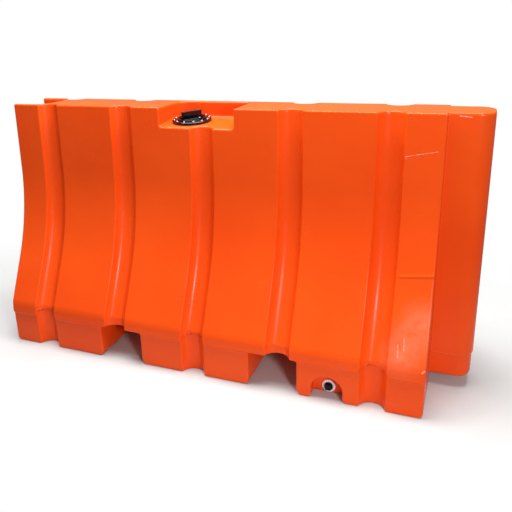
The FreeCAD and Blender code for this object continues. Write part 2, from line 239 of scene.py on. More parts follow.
def fork_and_ground(x, z):
    """Distance to the fork openings joined to the ground, so that the feet get rounded bottom corners."""
    offset = np.abs(np.abs(x - MID) - FORK_SPACING / 2) - FORK_WIDTH / 2
    opening = round_both(offset, z - LIP_Z, 0.010)
    return round_join(opening, z, 0.026)


def recess(x, y, z):
    """Distance to the notch for the fill port, whose floor drains forward."""
    left, right, back = RECESS_LEFT - x, x - RECESS_RIGHT, y - RECESS_BACK
    walls = round_both(round_both(left, back, RECESS_CORNER), right, 0.012)
    floor = (PORT.z - z) * math.cos(FLOOR_TILT) + (y - PORT.y) * math.sin(FLOOR_TILT)
    return round_both(walls, floor, 0.010)


def pocket_and_ground(x, y, z):
    """Distance to the arched pocket round the drain, flared where it meets the ground."""
    spring = POCKET_HEIGHT - POCKET_HALF
    arch = np.where(z > spring, np.hypot(x - DRAIN.x, z - spring), np.abs(x - DRAIN.x)) - POCKET_HALF
    return round_join(round_both(arch, y - DRAIN.y, 0.008), z, 0.015)


def knuckle(x, y, z):
    """Distance to the upright knuckle, narrower below its step."""
    def post(shrink):
        side, nose = np.abs(y) - KNUCKLE_HALF + shrink, x - NOSE + shrink
        return round_both(side, nose, KNUCKLE_CORNER - shrink)
    high = round_both(post(0), LIP_Z - z, 0.0015)
    low = np.maximum(round_both(post(KNUCKLE_STEP), KNUCKLE_BOTTOM - z, 0.018), z - LIP_Z - 0.01)
    return np.maximum(np.minimum(high, low), RIGHT - 0.03 - x)


def socket(x, y):
    """Distance to the upright socket at the left end."""
    return round_both(np.abs(y) - SOCKET_HALF, x - LEFT - SOCKET_DEPTH, SOCKET_CORNER)


def sag(x, y, z):
    """How far the cooled skin has drawn in, up to about a millimetre, in long soft waves."""
    waves = [(3.1, 1.7, 5.2, 0.4), (7.9, 4.1, 2.6, 1.9), (5.3, -6.2, 9.4, 4.1), (12.7, 3.3, -7.1, 2.7)]
    total = sum(np.sin(a * x + b * y + c * z + d) for a, b, c, d in waves)
    return 0.00028 * (total / 2 + 1.2) * np.clip(z / 0.06, 0, 1)


def port_frame(x, y, z):
    """Coordinates in the port's own frame, +Z along its tilted axis."""
    across, up = y - PORT.y, z - PORT.z
    c, s = math.cos(FLOOR_TILT), math.sin(FLOOR_TILT)
    return x - PORT.x, across * c + up * s, up * c - across * s


def water_space(x, y, z):
    """The hollow under the fill port, reached through the fill hole."""
    px, py, pz = port_frame(x, y, z)
    sides, ends = np.abs(y) - 0.053, np.abs(x - PORT.x) - 0.15
    room = round_both(round_both(sides, ends, 0.02), 0.62 - z, 0.02)
    room = round_both(room, pz + WALL, 0.004)
    hole = np.maximum(np.hypot(px, py) - PORT_HOLE, np.abs(pz) - 0.03)
    return np.minimum(room, hole)


def shell_field(x, y, z):
    """Distance outside the whole moulding, negative inside its material."""
    upper, foot = upper_face(y, z), foot_face(y, z)
    low = np.maximum(foot, z - LIP_Z - 0.015)
    section = round_join(round_both(upper, LIP_Z - z, 0.0015), low, 0.003)
    block = round_both(np.maximum(LEFT - x, x - RIGHT), -z - 0.006, 0.026)
    body = round_both(section, block, 0.006)
    body = carve(body, flutes(x, y, z, upper, foot), 0.0045)
    body = round_join(body, knuckle(x, y, z), 0.0025)
    body = round_both(body, z - HEIGHT + 0.0002, 0.006)
    body = carve(body, np.minimum(fork_and_ground(x, z), pocket_and_ground(x, y, z)), 0.006)
    body = carve(body, socket(x, y), 0.007)
    body = carve(body, recess(x, y, z), 0.008)
    return carve(body + sag(x, y, z), water_space(x, y, z), 0.001)


# ---------------------------------------------------------------- meshing the field

def graded(low, high, places, fine, coarse, growth):
    """Grid lines from low to high: fine spacing at the given places, growing to coarse between them."""
    lines = [low]
    while lines[-1] < high:
        here = lines[-1]
        nearest = min(abs(here + fine / 2 - place) for place in places)
        lines.append(here + min(coarse, fine + growth * nearest))
    return np.array(lines)


def crossing_points(field, grids):
    """For each cell that the surface passes, the mean of the points where it cuts the cell's edges."""
    shape = tuple(n - 1 for n in field.shape)
    total, count = np.zeros(shape + (3,)), np.zeros(shape)
    for axis in range(3):
        low = [slice(None)] * 3
        high = [slice(None)] * 3
        low[axis], high[axis] = slice(0, -1), slice(1, None)
        a, b = field[tuple(low)], field[tuple(high)]
        cut = (a < 0) != (b < 0)
        share = np.where(cut, a / np.where(cut, a - b, 1), 0)
        others = [k for k in range(3) if k != axis]
        for i in (0, 1):
            for j in (0, 1):
                pick = [slice(None)] * 3
                for k, step in zip(others, (i, j)):
                    pick[k] = slice(step, step + shape[k])
                here, where = cut[tuple(pick)], share[tuple(pick)]
                count += here
                for k, grid in enumerate(grids):
                    view = [1, 1, 1]
                    view[k] = -1
                    if k == axis:
                        base, step_size = grid[:-1].reshape(view), np.diff(grid).reshape(view)
                        value = base + where * step_size
                    else:
                        start = (i, j)[others.index(k)]
                        value = grid[start:start + shape[k]].reshape(view)
                    total[..., k] += here * value
    return total, count


def cell_faces(field, index):
    """One quad round each grid edge that the surface cuts, wound to face outwards."""
    quads = []
    for axis in range(3):
        u, v = [(1, 2), (2, 0), (0, 1)][axis]
        low = [slice(1, -1)] * 3
        high = [slice(1, -1)] * 3
        low[axis], high[axis] = slice(0, -1), slice(1, None)
        a, b = field[tuple(low)] < 0, field[tuple(high)] < 0
        ring = []
        for du, dv in ((0, 0), (1, 0), (1, 1), (0, 1)):
            pick = [None] * 3
            pick[axis] = slice(None)
            pick[u] = slice(du, index.shape[u] - 1 + du)
            pick[v] = slice(dv, index.shape[v] - 1 + dv)
            ring.append(index[tuple(pick)])
        outward = a & ~b
        inward = b & ~a
        quads.append(np.stack([corner[outward] for corner in ring], 1))
        quads.append(np.stack([corner[inward] for corner in ring[::-1]], 1))
    return np.concatenate(quads)


def slope_of(field, points, step):
    """The field's gradient at each point."""
    columns = []
    for axis in range(3):
        shift = np.zeros(3)
        shift[axis] = step
        ahead, behind = points + shift, points - shift
        columns.append((field(*ahead.T) - field(*behind.T)) / (2 * step))
    return np.stack(columns, 1)


def set_normals(obj, normals):
    """Smooth shading with the given vertex normals."""
    obj.data.polygons.foreach_set("use_smooth", [True] * len(obj.data.polygons))
    obj.data.normals_split_custom_set_from_vertices([tuple(n) for n in normals])


def net_mesh(name, field, grids, place=lambda *grid: grid, to_world=Matrix.Identity(4)):
    """The zero surface of a field as one closed quad mesh, drawn onto the field after meshing.

    place turns grid coordinates into the field's own, and to_world carries the result to the model's frame.
    """
    a, b, c = grids
    values = field(*place(a[:, None, None], b[None, :, None], c[None, None, :]))
    total, count = crossing_points(values, grids)
    used = count > 0
    index = np.full(used.shape, -1)
    index[used] = np.arange(used.sum())
    points = np.stack(np.broadcast_arrays(*place(*(total[used] / count[used][:, None]).T)), 1)
    finest = min(np.diff(grid).min() for grid in (a, c))
    for _ in range(5):
        gradient = slope_of(field, points, finest / 16)
        size = np.maximum((gradient ** 2).sum(1), 0.04)
        step = (field(*points.T) / size)[:, None] * gradient
        points = points - np.clip(step, -finest, finest)
    normals = slope_of(field, points, finest / 16)
    normals /= np.maximum(np.linalg.norm(normals, axis=1), 1e-9)[:, None]
    turn = np.array(to_world.to_3x3())
    quads = cell_faces(values, index)
    obj = mesh_object(name, points @ turn.T + np.array(to_world.translation), quads)
    set_normals(obj, normals @ turn.T)
    return obj


def follow_faces(x, t, z):
    """Grid coordinates to metres: |t| up to 1 spans the core, 2 is the face there, more is outside."""
    z = np.asarray(z)
    shoulder_half = float(face_half_width(np.array(SHOULDER_Z))[0])
    foot = np.interp(z, [LIP_Z, SHOULDER_Z], [LIP_HALF, shoulder_half])
    half = np.where(z > SHOULDER_Z, face_half_width(z)[0], foot)
    across = np.abs(t)
    inner, outer = np.minimum(across, 1), np.maximum(across - 2, 0)
    y = CORE_HALF * (inner + outer) + np.clip(across - 1, 0, 1) * (half - CORE_HALF)
    return x, np.sign(t) * y, z


def make_shell():
    """The moulding as one closed mesh, finest along its edges and channels."""
    flute_edges = [LEFT + (n + 0.5) * PANEL + side * 0.047 for n in range(PANELS) for side in (-1, 1)]
    fork_edges = [MID + s * FORK_SPACING / 2 + t * FORK_WIDTH / 2 for s in (-1, 1) for t in (-1, 1)]
    port_places = [RECESS_LEFT, RECESS_RIGHT, PORT.x - PORT_HOLE, PORT.x + PORT_HOLE]
    drain_places = [DRAIN.x - POCKET_HALF, DRAIN.x + POCKET_HALF]
    xs = graded(LEFT - 0.006, NOSE + 0.008, [LEFT, LEFT + SOCKET_DEPTH, RIGHT, NOSE] + flute_edges
                + fork_edges + port_places + drain_places, 0.0036, 0.020, 0.35)
    core_places = [0.53, 0.66, KNUCKLE_HALF / CORE_HALF, SOCKET_HALF / CORE_HALF]
    half = np.concatenate([graded(0.0, 0.985, core_places, 0.042, 0.2, 0.35),
                           graded(1.03, 2.06, [1.77, 2.0], 0.022, 0.11, 0.25)])
    ts = np.concatenate([-half[:0:-1], half])
    levels = [0.0, KNUCKLE_BOTTOM, POCKET_HEIGHT, LIP_Z, SHOULDER_Z, 0.990, 1.002, HEIGHT]
    zs = graded(-0.006, HEIGHT + 0.008, levels, 0.0036, 0.024, 0.28)
    return net_mesh("moulded_shell", shell_field, (xs, ts, zs), follow_faces)


# ---------------------------------------------------------------- the fittings

def rounded_outline(corners, steps=4):
    """Points and outward normals round a closed (radius, z, fillet) outline with its corners rounded."""
    spots = [Vector(corner[:2]) for corner in corners]
    area = sum(a.x * b.y - b.x * a.y for a, b in zip(spots, spots[1:] + spots[:1]))
    points, normals = [], []
    for number, (here, corner) in enumerate(zip(spots, corners)):
        before, after = spots[number - 1], spots[(number + 1) % len(spots)]
        if here.x == 0:
            points.append(here)
            normals.append(Vector((0, math.copysign(1, here.y - sum(s.y for s in spots) / len(spots)))))
            continue
        back, ahead = (before - here).normalized(), (after - here).normalized()
        half_angle = back.angle(ahead) / 2
        centre = here + (back + ahead).normalized() * corner[2] / math.sin(half_angle)
        convex = back.x * ahead.y - back.y * ahead.x < 0
        outward = 1 if convex == (area > 0) else -1
        reach = corner[2] / math.tan(half_angle)
        ends = [(here + way * reach - centre).normalized() for way in (back, ahead)]
        for step in range(steps + 1):
            arm = ends[0].slerp(ends[1], step / steps)
            points.append(centre + arm * corner[2])
            normals.append(arm * outward)
    return points, normals


def lathe(name, corners, to_world, segments=192):
    """A closed turned mesh about Z from its (radius, z, fillet) outline."""
    outline, outline_normals = rounded_outline(corners)
    angles = [2 * math.pi * n / segments for n in range(segments)]
    turns = [(math.cos(angle), math.sin(angle)) for angle in angles]
    verts, normals, rows = [], [], []
    for point, normal in zip(outline, outline_normals):
        ring = turns if point.x > 0 else turns[:1]
        rows.append([len(verts) + n % len(ring) for n in range(segments)])
        verts += [to_world @ Vector((point.x * c, point.x * s, point.y)) for c, s in ring]
        normals += [to_world.to_3x3() @ Vector((normal.x * c, normal.x * s, normal.y)) for c, s in ring]
    faces = []
    for row, next_row in zip(rows, rows[1:] + rows[:1]):
        for n in range(segments):
            m = (n + 1) % segments
            corners_here = list(dict.fromkeys((row[n], next_row[n], next_row[m], row[m])))
            if len(corners_here) > 2:
                faces.append(corners_here)
    area = sum(a.x * b.y - b.x * a.y for a, b in zip(outline, outline[1:] + outline[:1]))
    if area > 0:
        faces = [face[::-1] for face in faces]
    obj = mesh_object(name, verts, faces)
    set_normals(obj, normals)
    return obj


def make_ring():
    """The fill port's screwed-down ring, with its neck hanging through the hole."""
    return lathe("port_ring", [(0.0505, -0.022, 0.001), (0.056, -0.022, 0.001), (0.056, 0.003, 0.0004),
                               (0.082, 0.003, 0.0004), (0.082, 0.0095, 0.0012), (0.0795, RING_TOP, 0.0014),
                               (0.0642, RING_TOP, 0.0004), (0.0638, 0.0115, 0.0003), (0.0628, 0.0115, 0.0003),
                               (0.0624, RING_TOP, 0.0004), (0.0505, RING_TOP, 0.0008)], TO_PORT)


def make_cap():
    """The dished cap: a plug with its seal groove, a rim over the ring, and a raised hub."""
    return lathe("cap", [(0, -0.003, 0), (0.0414, -0.003, 0.0015), (0.0414, -0.016, 0.0006),
                         (0.0496, -0.016, 0.0008), (0.0496, -0.0086, 0.0003), (0.0454, -0.0086, 0.0003),
                         (0.0454, -0.0034, 0.0003), (0.0496, -0.0034, 0.0003), (0.0496, 0.0123, 0.0003),
                         (0.061, 0.0123, 0.0008), (0.061, 0.0165, 0.0018), (0.0555, 0.0165, 0.0015),
                         (0.0486, 0.005, 0.001), (0.0456, 0.003, 0.0012), (0.0430, 0.003, 0.001),
                         (0.041, 0.0045, 0.0006), (0.0405, HUB_TOP, 0.0012), (0, HUB_TOP, 0)], TO_PORT)


def handle_field(x, y, z):
    """Distance outside the bar handle and its screwed foot plate, in the port's frame."""
    c, s = math.cos(HANDLE_ANGLE), math.sin(HANDLE_ANGLE)
    along, across = np.abs(x * c + y * s), np.abs(y * c - x * s)
    bar = round_both(along - HANDLE_HALF[0], across - HANDLE_HALF[1], 0.004)
    plate = round_both(along - PLATE_HALF[0], across - PLATE_HALF[1], 0.018)
    bar = round_both(bar, z - HANDLE_TOP, 0.0016)
    plate = round_both(plate, z - PLATE_TOP, 0.001)
    return round_both(round_join(bar, plate, 0.0006), HUB_TOP - z, 0.0004)


def make_handle():
    """The upright bar that turns the cap."""
    span = graded(-0.037, 0.037, [0.0], 0.0009, 0.0009, 0)
    heights = graded(0.0065, HANDLE_TOP + 0.0025, [HUB_TOP, PLATE_TOP, HANDLE_TOP], 0.0005, 0.004, 0.3)
    return net_mesh("handle", handle_field, (span, span, heights), to_world=TO_PORT)


def screw_field(head, height, shank, length):
    """Distance outside a pan-head screw with a cross recess, seated at Z = 0."""
    def field(x, y, z):
        radius = np.hypot(x, y)
        dome = round_both(round_both(radius - head, z - height, 0.6 * height), -z, 0.0002)
        taper = 0.25 * (height - z)
        arms = [np.maximum(a - 0.0007 + taper, b - 0.56 * head + taper)
                for a, b in ((np.abs(x), np.abs(y)), (np.abs(y), np.abs(x)))]
        recess_cut = np.maximum(np.minimum(*arms), height - 0.0017 - z)
        body = round_both(round_both(radius - shank, -length - z, 0.0008), z - 0.001, 0.0002)
        return round_join(carve(dome, recess_cut, 0.0002), body, 0.0003)
    return field


def make_screw(name, head, height, shank, length):
    """One screw at the origin, finest over its head."""
    span = graded(-head - 0.0006, head + 0.0006, [0.0], 0.00034, 0.00034, 0)
    heights = graded(-length - 0.0006, height + 0.0006, [0.0, height - 0.0017, height], 0.00034, 0.004, 0.3)
    return net_mesh(name, screw_field(head, height, shank, length), (span, span, heights))


def fastener_group():
    """Geometry nodes that set a screw at each point, each turned by its own seeded angle."""
    tree = bpy.data.node_groups.new("screws at points", "GeometryNodeTree")
    for name, kind in (("Places", "NodeSocketGeometry"), ("Screw", "NodeSocketObject"),
                       ("Turn seed", "NodeSocketInt"), ("Finish", "NodeSocketMaterial")):
        tree.interface.new_socket(name, in_out="INPUT", socket_type=kind)
    tree.interface.new_socket("Screws", in_out="OUTPUT", socket_type="NodeSocketGeometry")
    given = add(tree, "NodeGroupInput").outputs
    screw = add(tree, "GeometryNodeObjectInfo", {"Object": given["Screw"]})
    turn = add(tree, "FunctionNodeRandomValue", {"Seed": given["Turn seed"], "Max": (0, 0, 2 * math.pi)},
               data_type="FLOAT_VECTOR")
    placed = add(tree, "GeometryNodeInstanceOnPoints", {"Points": given["Places"],
                 "Instance": screw.outputs["Geometry"], "Rotation": turn.outputs["Value"]})
    solid = add(tree, "GeometryNodeRealizeInstances", {"Geometry": placed.outputs["Instances"]})
    finished = add(tree, "GeometryNodeSetMaterial", {"Geometry": solid.outputs["Geometry"],
                   "Material": given["Finish"]})
    add(tree, "NodeGroupOutput", {"Screws": finished.outputs["Geometry"]})
    return tree


def set_screws(name, group, screw, places, seed, finish):
    """Plain mesh of one screw set at each place, in the port's frame."""
    points = mesh_object(name + "_places", places, [])
    modifier = points.modifiers.new("screws", "NODES")
    modifier.node_group = group
    values = {"Screw": screw, "Turn seed": seed, "Finish": finish}
    for socket in group.interface.items_tree:
        if socket.name in values:
            modifier[socket.identifier] = values[socket.name]
    evaluated = points.evaluated_get(bpy.context.evaluated_depsgraph_get())
    mesh = bpy.data.meshes.new_from_object(evaluated)
    mesh.transform(TO_PORT)
    result = bpy.data.objects.new(name, mesh)
    bpy.context.scene.collection.objects.link(result)
    bpy.data.objects.remove(points)
    bpy.data.objects.remove(screw)
    return result


def make_bush():
    """The moulded-in drain bush with its round flange."""
    return lathe("bush", [(0.01345, -0.024, 0.0006), (0.018, -0.024, 0.0006), (0.018, 0.0, 0.0004),
                          (0.0265, 0.0, 0.0004), (0.0265, 0.006, 0.0018), (0.0185, 0.006, 0.0006),
                          (0.0182, 0.0054, 0.0004), (0.01345, 0.0054, 0.0008)], TO_DRAIN)


def plug_field(x, y, z):
    """Distance outside the drain plug: shank, round collar and square head."""
    radius = np.hypot(x, y)
    shank = round_both(radius - SHANK_RADIUS, SHANK_END - z, 0.0015)
    collar = round_both(round_both(radius - COLLAR_RADIUS, COLLAR_BASE - z, 0.0004), z - COLLAR_TOP, 0.0008)
    head = round_both(np.abs(x) - HEAD_HALF, np.abs(y) - HEAD_HALF, HEAD_CORNER)
    dimple = np.sqrt(radius ** 2 + (z - HEAD_TOP - 0.006) ** 2) - 0.0085
    head = carve(round_both(head, z - HEAD_TOP, 0.0014), dimple, 0.0006)
    base = np.maximum(np.minimum(shank, collar), z - COLLAR_TOP)
    return round_join(base, np.maximum(head, 0.010 - z), 0.0008)


def make_plug():
    """The screw-out drain plug."""
    span = graded(-0.0182, 0.0182, [0.0], 0.00065, 0.00065, 0)
    heights = graded(-0.016, 0.0222, [SHANK_END, COLLAR_BASE, COLLAR_TOP, HEAD_TOP], 0.0005, 0.003, 0.3)
    return net_mesh("plug", plug_field, (span, span, heights), to_world=TO_DRAIN)


# ---------------------------------------------------------------- materials

# Marks on the front, in metres: the start, end and width of each scratch, of the crease across the right
# panel, and of the painted reflection (a pale pink haze) below it; then half the height of the painted
# highlight on the knuckle's step.
SCRATCHES = (((0.700, -0.114, 0.914), (0.815, -0.113, 0.937), 0.0016),
             ((0.704, -0.114, 0.906), (0.762, -0.113, 0.916), 0.0009),
             ((0.738, -0.295, 0.226), (0.735, -0.275, 0.268), 0.0020),
             ((0.757, -0.283, 0.252), (0.754, -0.265, 0.290), 0.0017),
             ((0.826, -0.310, 0.190), (0.835, -0.308, 0.197), 0.0040),
             ((0.876, -0.081, 1.056), (0.912, -0.080, 1.052), 0.0030),
             ((-0.262, -0.108, 1.058), (-0.259, -0.108, 1.052), 0.0045),
             ((-0.855, -0.109, 1.040), (-0.850, -0.109, 1.037), 0.0035))
CREASE = ((0.722, -0.178, 0.489), (0.836, -0.173, 0.501), 0.010)
PAINTED_HAZE = ((0.745, -0.294, 0.230), (0.815, -0.235, 0.345), 0.11)
STEP_HIGHLIGHT_HALF = 0.0022


def near_line(tree, place, mark):
    """1 on a mark's line, falling to 0 at its width."""
    start, end, width = mark
    run = Vector(end) - Vector(start)
    offset = add(tree, "ShaderNodeVectorMath", {0: place, 1: start}, operation="SUBTRACT").outputs[0]
    share = add(tree, "ShaderNodeVectorMath", {0: offset, 1: run / run.length_squared},
                operation="DOT_PRODUCT").outputs["Value"]
    held = add(tree, "ShaderNodeClamp", {"Value": share}).outputs[0]
    foot = add(tree, "ShaderNodeVectorMath", {0: run, "Scale": held}, operation="SCALE").outputs[0]
    gap = add(tree, "ShaderNodeVectorMath", {0: offset, 1: foot}, operation="DISTANCE").outputs["Value"]
    return add(tree, "ShaderNodeMapRange", {"Value": gap, "From Min": 0.0, "From Max": width,
               "To Min": 1.0, "To Max": 0.0}, interpolation_type="SMOOTHSTEP").outputs[0]


def math_node(tree, operation, a, b):
    """The result of a two-input maths node."""
    return add(tree, "ShaderNodeMath", {0: a, 1: b}, operation=operation).outputs[0]


def mix_colour(tree, factor, a, b):
    """Colour a moved towards colour b."""
    return add(tree, "ShaderNodeMix", {0: factor, 6: a, 7: b}, data_type="RGBA").outputs[2]


def noise(tree, place, scale, detail, stretch=(1, 1, 1)):
    """Noise over the object's own coordinates, in features per metre."""
    stretched = add(tree, "ShaderNodeMapping", {"Vector": place, "Scale": stretch}).outputs[0]
    settings = {"Vector": stretched, "Scale": scale, "Detail": detail}
    return add(tree, "ShaderNodeTexNoise", settings).outputs["Fac"]


def bumps(tree, shader, layers):
    """Stack height patterns, each (height socket, strength, depth in metres), on the shader's normal."""
    normal = None
    for height, strength, depth in layers:
        inputs = {"Height": height, "Strength": strength, "Distance": depth}
        if normal:
            inputs["Normal"] = normal
        normal = add(tree, "ShaderNodeBump", inputs).outputs[0]
    tree.links.new(normal, shader.inputs["Normal"])


def rotomoulded_polyethylene():
    """Orange linear polyethylene, laid down against a warm mould as powder and left to cool.

    The skin draws in as soft waves some 70 mm long with a 3 mm orange peel over them, so highlights are broad
    and slightly broken; the pigment drifts a little in shade, and handling leaves pale scratches and scuffs.
    A pale pink haze on the right panel's lower slope is a painted reflection, and a pale line along the
    knuckle's step is a painted highlight.
    """
    material, tree, shader, place = new_material("rotomoulded orange polyethylene")
    drift = noise(tree, place, 2.4, 3.0)
    colour = ramp(tree, drift, [(0.3, srgb("#EC4A10")), (0.7, srgb("#F35213"))])
    speck = ramp(tree, noise(tree, place, 700.0, 2.0), [(0.62, 0.0), (0.74, 0.10)])
    colour = mix_colour(tree, speck, colour, srgb("#FF7A4A"))
    wander = add(tree, "ShaderNodeTexNoise", {"Vector": place, "Scale": 160.0,
                 "Detail": 3.0}).outputs["Color"]
    shaken = add(tree, "ShaderNodeVectorMath", {0: wander, 1: (0.004, 0.004, 0.004), 2: place},
                 operation="MULTIPLY_ADD").outputs[0]
    centred = add(tree, "ShaderNodeVectorMath", {0: shaken, 1: (0.002, 0.002, 0.002)},
                  operation="SUBTRACT").outputs[0]
    worn = 0.0
    for mark in SCRATCHES:
        worn = math_node(tree, "MAXIMUM", near_line(tree, centred, mark), worn)
    patchy = ramp(tree, noise(tree, place, 420.0, 4.0), [(0.38, 0.25), (0.56, 1.0)])
    worn = math_node(tree, "MULTIPLY", worn, patchy)
    streaks = ramp(tree, noise(tree, place, 60.0, 5.0, (0.25, 1, 3.5)), [(0.68, 0.0), (0.80, 0.09)])
    marks = math_node(tree, "MAXIMUM", worn, streaks)
    # Painted reflection: a broad pale pink haze on the lower slope of the right panel.
    bloom_and_painted_haze = math_node(tree, "MULTIPLY", near_line(tree, place, PAINTED_HAZE),
                      ramp(tree, noise(tree, place, 30.0, 4.0), [(0.3, 0.12), (0.7, 0.36)]))
    colour = mix_colour(tree, bloom_and_painted_haze, colour, srgb("#FF9A7C"))
    # Painted highlight: a pale band just above the knuckle's step, along its edge.
    spot = add(tree, "ShaderNodeSeparateXYZ", {"Vector": place}).outputs
    off_step_highlight = math_node(tree, "ABSOLUTE", math_node(tree, "SUBTRACT", spot["Z"], LIP_Z + STEP_HIGHLIGHT_HALF), 0.0)
    step = add(tree, "ShaderNodeMapRange", {"Value": off_step_highlight, "From Max": STEP_HIGHLIGHT_HALF, "To Min": 0.55,
               "To Max": 0.0}).outputs[0]
    step = math_node(tree, "MULTIPLY", step, math_node(tree, "GREATER_THAN", spot["X"], RIGHT + 0.005))
    colour = mix_colour(tree, step, colour, srgb("#FF9C6A"))
    tree.links.new(mix_colour(tree, marks, colour, srgb("#FFC4B4")), shader.inputs["Base Color"])
    swirl = noise(tree, place, 14.0, 2.0)
    rough = ramp(tree, swirl, [(0.3, 0.18), (0.7, 0.25)])
    smear = ramp(tree, noise(tree, place, 5.0, 5.0, (1, 1, 0.4)), [(0.5, 0.0), (0.75, 0.14)])
    dulled = math_node(tree, "MAXIMUM", smear, math_node(tree, "MULTIPLY", marks, 0.3))
    rough = math_node(tree, "ADD", rough, dulled)
    tree.links.new(rough, shader.inputs["Roughness"])
    bumps(tree, shader, [(swirl, 0.35, 0.0022), (noise(tree, place, 330.0, 2.0), 0.12, 0.0004),
                         (near_line(tree, place, CREASE), 0.8, 0.0028), (worn, 0.4, 0.0003)])
    shader.inputs["IOR"].default_value = 1.5
    shader.inputs["Specular IOR Level"].default_value = 0.17
    return material


def glossy_nylon():
    """Black glass-filled nylon, injection moulded in a polished tool.

    Glossy enough to mirror the orange round it; faint flow marks and a fine grain soften the mirror, and
    handling leaves dull greyish rubs and a little dust.
    """
    material, tree, shader, place = new_material("glossy black nylon")
    rub = ramp(tree, noise(tree, place, 55.0, 6.0), [(0.54, 0.0), (0.74, 0.3)])
    base = ramp(tree, noise(tree, place, 18.0, 2.0), [(0.3, srgb("#060608")), (0.7, srgb("#0D0C0F"))])
    dust = ramp(tree, noise(tree, place, 900.0, 3.0), [(0.68, 0.0), (0.82, 0.25)])
    colour = mix_colour(tree, math_node(tree, "MULTIPLY", rub, 0.35), base, srgb("#3A3A3E"))
    tree.links.new(mix_colour(tree, dust, colour, srgb("#6E6A66")), shader.inputs["Base Color"])
    flow = noise(tree, place, 30.0, 2.0, (1, 0.3, 1))
    rough = math_node(tree, "ADD", ramp(tree, flow, [(0.3, 0.10), (0.7, 0.17)]),
                      math_node(tree, "MULTIPLY", rub, 0.3))
    tree.links.new(rough, shader.inputs["Roughness"])
    bumps(tree, shader, [(flow, 0.2, 0.0006), (noise(tree, place, 1600.0, 2.0), 0.10, 0.0001)])
    shader.inputs["IOR"].default_value = 1.5
    shader.inputs["Specular IOR Level"].default_value = 0.3
    return material


def turned_stainless():
    """Cold-headed and tumbled stainless steel: bright, with fine random hairlines and duller worn patches."""
    material, tree, shader, place = new_material("tumbled stainless steel")
    cloud = noise(tree, place, 240.0, 4.0)
    hairs = noise(tree, place, 900.0, 3.0, (1, 0.12, 1))
    colour = ramp(tree, cloud, [(0.3, srgb("#9C9B99")), (0.7, srgb("#C2C1BF"))])
    tree.links.new(colour, shader.inputs["Base Color"])
    rough = math_node(tree, "ADD", ramp(tree, cloud, [(0.35, 0.16), (0.7, 0.30)]),
                      ramp(tree, hairs, [(0.5, 0.0), (0.7, 0.10)]))
    tree.links.new(rough, shader.inputs["Roughness"])
    bumps(tree, shader, [(hairs, 0.15, 0.00005)])
    shader.inputs["Metallic"].default_value = 1.0
    return material


def turned_brass():
    """Machined brass: warm and bright, with tool lines 0.2 mm apart and a slight brown tarnish."""
    material, tree, shader, place = new_material("turned brass")
    tarnish = noise(tree, place, 160.0, 4.0)
    colour = ramp(tree, tarnish, [(0.35, srgb("#D2AA58")), (0.75, srgb("#8F6A34"))])
    tree.links.new(colour, shader.inputs["Base Color"])
    lines = add(tree, "ShaderNodeTexWave", {"Vector": place, "Scale": 800.0, "Distortion": 1.0},
                bands_direction="Z").outputs["Fac"]
    rough = math_node(tree, "ADD", ramp(tree, tarnish, [(0.3, 0.20), (0.8, 0.42)]),
                      math_node(tree, "MULTIPLY", lines, 0.06))
    tree.links.new(rough, shader.inputs["Roughness"])
    bumps(tree, shader, [(lines, 0.2, 0.00004)])
    shader.inputs["Metallic"].default_value = 1.0
    return material


def black_rubber():
    """Moulded black rubber: soft sheen, a fine matt grain and a grey bloom where it has aged."""
    material, tree, shader, place = new_material("moulded black rubber")
    bloom_and_painted_haze = noise(tree, place, 90.0, 5.0)
    grain = noise(tree, place, 1400.0, 2.0)
    colour = ramp(tree, bloom_and_painted_haze, [(0.4, srgb("#121212")), (0.75, srgb("#2E2D2C"))])
    tree.links.new(colour, shader.inputs["Base Color"])
    tree.links.new(ramp(tree, bloom_and_painted_haze, [(0.3, 0.55), (0.7, 0.78)]), shader.inputs["Roughness"])
    bumps(tree, shader, [(grain, 0.3, 0.0001)])
    return material


def natural_polyethylene():
    """Unpigmented polyethylene: milky and a little see-through; the pink tint of its base colour is painted
    light, standing in for orange light from the shell.

    Light bleeds a few millimetres into it; fine machining rings and grey handling marks break up the surface.
    """
    material, tree, shader, place = new_material("natural polyethylene")
    cloud = noise(tree, place, 120.0, 4.0)
    # The pink in these colours is painted light from the orange shell around the bush.
    colour = ramp(tree, cloud, [(0.3, srgb("#F0D6DE")), (0.7, srgb("#F8E6EA"))])
    grime = ramp(tree, noise(tree, place, 260.0, 5.0), [(0.60, 0.0), (0.78, 0.45)])
    tree.links.new(mix_colour(tree, grime, colour, srgb("#9A8A8C")), shader.inputs["Base Color"])
    tree.links.new(ramp(tree, cloud, [(0.3, 0.34), (0.7, 0.48)]), shader.inputs["Roughness"])
    bumps(tree, shader, [(noise(tree, place, 700.0, 2.0), 0.15, 0.0002)])
    shader.inputs["Subsurface Weight"].default_value = 0.3
    shader.inputs["Subsurface Scale"].default_value = 0.004
    shader.inputs["Subsurface Radius"].default_value = (1.0, 0.6, 0.5)
    return material


def black_moulding():
    """Black polypropylene, moulded with a fine spark texture: dark satin, greyed along its worn faces."""
    material, tree, shader, place = new_material("black moulded plug")
    grain = noise(tree, place, 1500.0, 3.0)
    rub = ramp(tree, noise(tree, place, 140.0, 4.0), [(0.5, 0.0), (0.75, 0.5)])
    tree.links.new(mix_colour(tree, rub, srgb("#040405"), srgb("#161618")), shader.inputs["Base Color"])
    tree.links.new(ramp(tree, grain, [(0.35, 0.38), (0.7, 0.55)]), shader.inputs["Roughness"])
    bumps(tree, shader, [(grain, 0.3, 0.00012)])
    shader.inputs["Specular IOR Level"].default_value = 0.25
    return material


